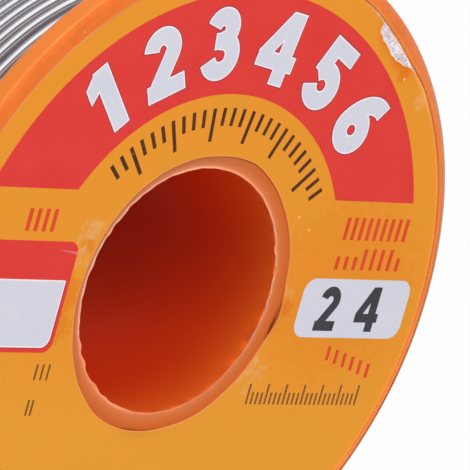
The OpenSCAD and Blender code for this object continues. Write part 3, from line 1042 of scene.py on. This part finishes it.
# The torn strip is a grid of angle by depth. It bulges in the middle and is crumpled by drawn waves.
def makeTear(values):
    angle = np.radians(np.linspace(values["start"], values["end"], values["steps"]))[:, None]
    ragged = waver(angle * 15, values["ragged"], [3, 5, 8, 13])
    deep = tearDepth(angle) * (1 + ragged) + np.abs(ragged) * 0.2
    share = np.linspace(0, 1, values["rows"])[None, :]
    outer = labelEdge(angle) - values["inset"] - np.abs(waver(angle * 12, values["outerWaver"], [2, 5, 9]))
    radius = outer - deep * share
    edge = np.minimum(np.minimum(share, 1 - share) * 5, 1)
    folds = np.zeros(radius.shape)
    for wave in range(values["folds"]):
        turn = rng.uniform(0, fullTurn)
        size = rng.uniform(*values["foldSizes"])
        along = radius * np.cos(angle - turn)
        folds += np.abs(np.sin(along * fullTurn / size + rng.uniform(0, fullTurn))) / values["folds"]
    height = values["crumple"] * (0.25 + 1.5 * folds) * edge * np.clip(deep / 0.8, 0.25, 1)
    fade = np.exp(-((labelHigh[0] - radius) / label["edgeReach"]) ** 1.5)
    face = labelHigh[2] + bells(angle, label["edgeLift"]) * fade
    ring = bothSides(
        polar(radius, angle, face + values["above"] + height),
        polar(radius, angle, face - values["below"]))
    ring[:, :, :2] += artMiddle
    rows, cols = ring.shape[:2]
    faces = gridFaces(rows, cols, closed=False)
    inverted = quadVolume(ring.reshape(-1, 3), faces) < 0
    if inverted:
        faces = faces[:, ::-1]
    caps = []
    for k in range(values["rows"] - 1):
        for first, flip in ((0, False), ((rows - 1) * cols, True)):
            quad = [first + k, first + k + 1, first + cols - 2 - k, first + cols - 1 - k]
            caps.append(quad[::-1] if flip == inverted else quad)
    rim = np.broadcast_to(np.clip((share - 0.82) / 0.1, 0, 1), height.shape)
    return newPiece(
        "tornEdge", ring, faces.tolist() + caps, tornPaper, sharp=60,
        values={"rim": bothSides(rim, rim)})


makeTear(tear)


winding = {
    "sides": 18, "stepsPerTurn": 140, "turns": 17,
    "start": -136.0,                     # where the wire starts beside the trench, in degrees
    "tuck": 24.0, "tuckDepth": 0.85,     # over how many degrees each end dives under, and how deep
    "wander": 0.012, "drift": 0.01, "dip": 0.008,   # how the wire strays in height and inwards
    "slack": 0.004,                      # how much smaller its radius is than the CAD wire's
    "gap": 0.16, "gapTurn": 11.25, "gapSharp": 12,   # one wider gap, after how many turns, how suddenly
}


# Sections round a path: each point is the path's point plus a circle in the plane of two directions
def sweep(path, outward, upward, radius, sides):
    turn = roundAngles(sides)[None]
    circle = np.cos(turn) * outward[:, None, :] + np.sin(turn) * upward
    return path[:, None, :] + radius * circle


# How far along a path each of its points lies
def lengthsAlong(path):
    return np.concatenate([[0], np.cumsum(np.linalg.norm(np.diff(path, axis=0), axis=1))])


# Where a point lies on the wire: its length along it, and the direction round the section
def wirePlaces(path, sides):
    turn = roundAngles(sides).T
    along = lengthsAlong(path)[:, None] * metal["stretch"]
    return np.stack(np.broadcast_arrays(along, np.cos(turn), np.sin(turn)), -1)


upwards = np.array([0.0, 0.0, 1.0])


# The outer layer is a helix: its height grows evenly with the angle, and its ends dive under
def makeOuterLayer(values):
    radius = layerHigh[0] - wireRadius
    bottom, top = layerLow[2] + wireRadius, layerHigh[2] - wireRadius
    end = values["turns"] * fullTurn
    run = np.linspace(0, end, values["turns"] * values["stepsPerTurn"])
    angle = run + math.radians(values["start"])
    near = np.clip(1 - np.minimum(run, end - run) / math.radians(values["tuck"]), 0, 1)
    away = radius - values["tuckDepth"] * near ** 2 - np.abs(waver(angle, values["dip"], [3, 7, 12]))
    opened = 1 / (1 + np.exp(-(run / fullTurn - values["gapTurn"]) * values["gapSharp"]))
    height = bottom + (top - bottom - values["gap"]) * run / end + values["gap"] * opened
    height += waver(angle, values["wander"], [2, 3, 5]) + waver(run / 7, values["drift"], [3, 5])
    path = polar(away, angle, np.clip(height, bottom, top))
    rings = sweep(path, polar(1, angle, 0), upwards, wireRadius - values["slack"], values["sides"])
    return newPiece(
        "outerWinding", rings, cappedTube(rings), solder,
        values={"wirePlace": wirePlaces(path, values["sides"])}, replaces=["wire_layer_9"], sharp=60)


makeOuterLayer(winding)


loose = {
    "start": 250.0, "angle": 285.0, "lift": 0.1,
    "curlRadius": 12.0, "curlReach": 1.1, "shortLayers": 3, "layerPitch": 0.8847,
    "tailRise": 1.7, "tailRadius": 40.0,
    "curlStep": 3, "runStep": 2, "tailStep": 0.8,   # degrees from point to point
    "core": 0.195, "bore": 0.205, "clear": 0.002, "sides": 24,
    "pinch": 1.1, "pinchShare": 0.55,    # the pinched length at its far end, and the width left there
}


# The angle swept about an offset centre to reach a distance from the axis, by the cosine rule
def farAngle(reach, offset, radius):
    return math.degrees(math.acos((reach ** 2 - offset ** 2 - radius ** 2) / (2 * offset * radius)))


# A stretch round a centre that is offset from the axis: its points and its outward directions
def flatArc(offset, facing, radius, start, end, step, z):
    count = int(math.ceil(abs(end - start) / step)) + 1
    out = polar(1, np.radians(facing + np.linspace(start, end, count)), 0)
    return polar(offset, math.radians(facing), z) + radius * out, out


# The loose turn starts in a tight curl, runs round the winding and ends in a tail that stands off it
def loosePath(values):
    z = (looseLow[2] + looseHigh[2]) / 2
    outerLayer = layerHigh[0] - wireRadius
    run = outerLayer + values["lift"]
    curlEnd = outerLayer - values["shortLayers"] * values["layerPitch"] + values["curlReach"]
    curlOffset = run - values["curlRadius"]
    tailOffset = run - values["tailRadius"]
    curl = farAngle(curlEnd, curlOffset, values["curlRadius"])
    tail = farAngle(run + values["tailRise"], tailOffset, values["tailRadius"])
    stretches = [
        flatArc(curlOffset, values["start"], values["curlRadius"], -curl, 0, values["curlStep"], z),
        flatArc(0, values["start"], run, 0, values["angle"], values["runStep"], z),
        flatArc(
            tailOffset, values["start"] + values["angle"], values["tailRadius"], 0, tail,
            values["tailStep"], z)]
    return (
        np.concatenate([stretches[0][k][:1]] + [part[k][1:] for part in stretches]) for k in (0, 1))


# The loose turn is a tube: one skin runs out along the path and comes back as the hollow's wall.
# Cutters have pinched its far end flat.
def makeLooseTurn(values):
    path, out = loosePath(values)
    along = lengthsAlong(path)
    pinched = np.clip(1 - (along[-1] - along) / values["pinch"], 0, 1) ** 1.6
    flatOut = out * (1 - (1 - values["pinchShare"]) * pinched)[:, None]
    outside, hollow, core = (
        sweep(path, flatOut, upwards, radius, values["sides"])
        for radius in (wireRadius - values["clear"], values["bore"], values["core"]))
    grid = np.concatenate([outside, hollow[::-1]])
    places = wirePlaces(path, values["sides"])
    newPiece(
        "looseTurn", grid, gridFaces(*grid.shape[:2]), solder, body="wire_end",
        values={"wirePlace": np.concatenate([places, places[::-1]])}, replaces=["loose_turn"], sharp=50)
    newPiece(
        "fluxCore", core, cappedTube(core), rosin, body="wire_end",
        replaces=["flux_core"], sharp=50)


makeLooseTurn(loose)
print("wire wound")


studio = {
    "floorSize": 3.0, "floorGlow": 0.91,       # in metres, as the lamps' places and sizes are
    "floorSeen": (0.98, 0.98, 0.98, 1), "floorBounce": (0.8, 0.8, 0.8, 1),
    "sky": 0.34, "skyTint": (0.97, 0.98, 1.0, 1),
    # what gloss shows overhead: the sine of a height above the floor, and its brightness
    "panels": [(0.0, 1.0), (0.08, 1.0), (0.2, 0.16), (0.5, 0.16), (0.64, 0.6), (0.9, 0.6), (1.0, 1.0)],
    "lampAim": (0, 0, 0.012),
    "keySpot": (-0.13, 0.46, 0.62), "keySize": 0.5, "keyPower": 4.3,
    "fillSpot": (-0.5, -0.35, 0.5), "fillSize": 0.6, "fillPower": 1.2,
}
white = (1, 1, 1, 1)


# Share 1 for the rays that see the background white: from the camera, and through what is clear or off
# what is glossy
def seenShare(tree, glossy=True):
    path = place(tree, "LightPath").outputs
    seen = maths(tree, "MAXIMUM", path["Is Camera Ray"], path["Is Transmission Ray"])
    return maths(tree, "MAXIMUM", seen, path["Is Glossy Ray"]) if glossy else seen


def makeFloor(values):
    size = values["floorSize"]
    mesh = bpy.data.meshes.new("floor")
    mesh.from_pydata([(x, y, 0) for x, y in block(-size, -size, size, size)], [], [[0, 1, 2, 3]])
    material = bpy.data.materials.new("paleFloor")
    tree = emptyTree(material)
    seen = seenShare(tree)
    colour = blend(tree, seen, values["floorBounce"], values["floorSeen"])
    matte = place(tree, "BsdfDiffuse", {"Color": colour}).outputs[0]
    glow = place(tree, "Emission", {"Color": white, "Strength": 1.0}).outputs[0]
    share = times(tree, seen, values["floorGlow"])
    mixed = place(tree, "MixShader", {0: share, 1: matte, 2: glow}).outputs[0]
    place(tree, "OutputMaterial", {"Surface": mixed})
    mesh.materials.append(material)
    floor = addObject("floor", mesh)


# The sky lights evenly and is seen white. Gloss shows it as a studio's pale and dark panels, by height.
def makeWorld(values):
    world = bpy.data.worlds.new("studio")
    bpy.context.scene.world = world
    tree = emptyTree(world)
    height = place(tree, "SeparateXYZ", {0: place(tree, "TexCoord").outputs["Generated"]}).outputs[2]
    ramp = place(tree, "ValToRGB", {0: height})
    stops = ramp.color_ramp.elements
    for count, (sine, bright) in enumerate(values["panels"]):
        stop = stops[count] if count < 2 else stops.new(sine)
        stop.position = sine
        stop.color = (bright, bright, bright, 1)
    lights = ((values["skyTint"], values["sky"]), (ramp.outputs[0], 1.0), (white, 1.0))
    sky, panels, seen = (
        place(tree, "Background", {"Color": colour, "Strength": strength}).outputs[0]
        for colour, strength in lights)
    lit = place(tree, "MixShader", {0: seenShare(tree, glossy=False), 1: sky, 2: seen}).outputs[0]
    glossy = place(tree, "LightPath").outputs["Is Glossy Ray"]
    mixed = place(tree, "MixShader", {0: glossy, 1: lit, 2: panels}).outputs[0]
    place(tree, "OutputWorld", {"Surface": mixed})


# A square lamp that faces the spool's middle. Gloss shows the panels and not the lamps.
def makeLamp(values, key):
    spot = values[key + "Spot"]
    data = bpy.data.lights.new(key + "Lamp", "AREA")
    data.size = values[key + "Size"]
    data.energy = values[key + "Power"]
    lamp = addObject(key + "Lamp", data)
    aim = Vector(values["lampAim"]) - Vector(spot)
    lamp.matrix_world = Matrix.Translation(spot) @ aim.to_track_quat("-Z", "Y").to_matrix().to_4x4()
    lamp.visible_glossy = False


makeFloor(studio)
makeWorld(studio)
makeLamp(studio, "key")
makeLamp(studio, "fill")
print("stage set")
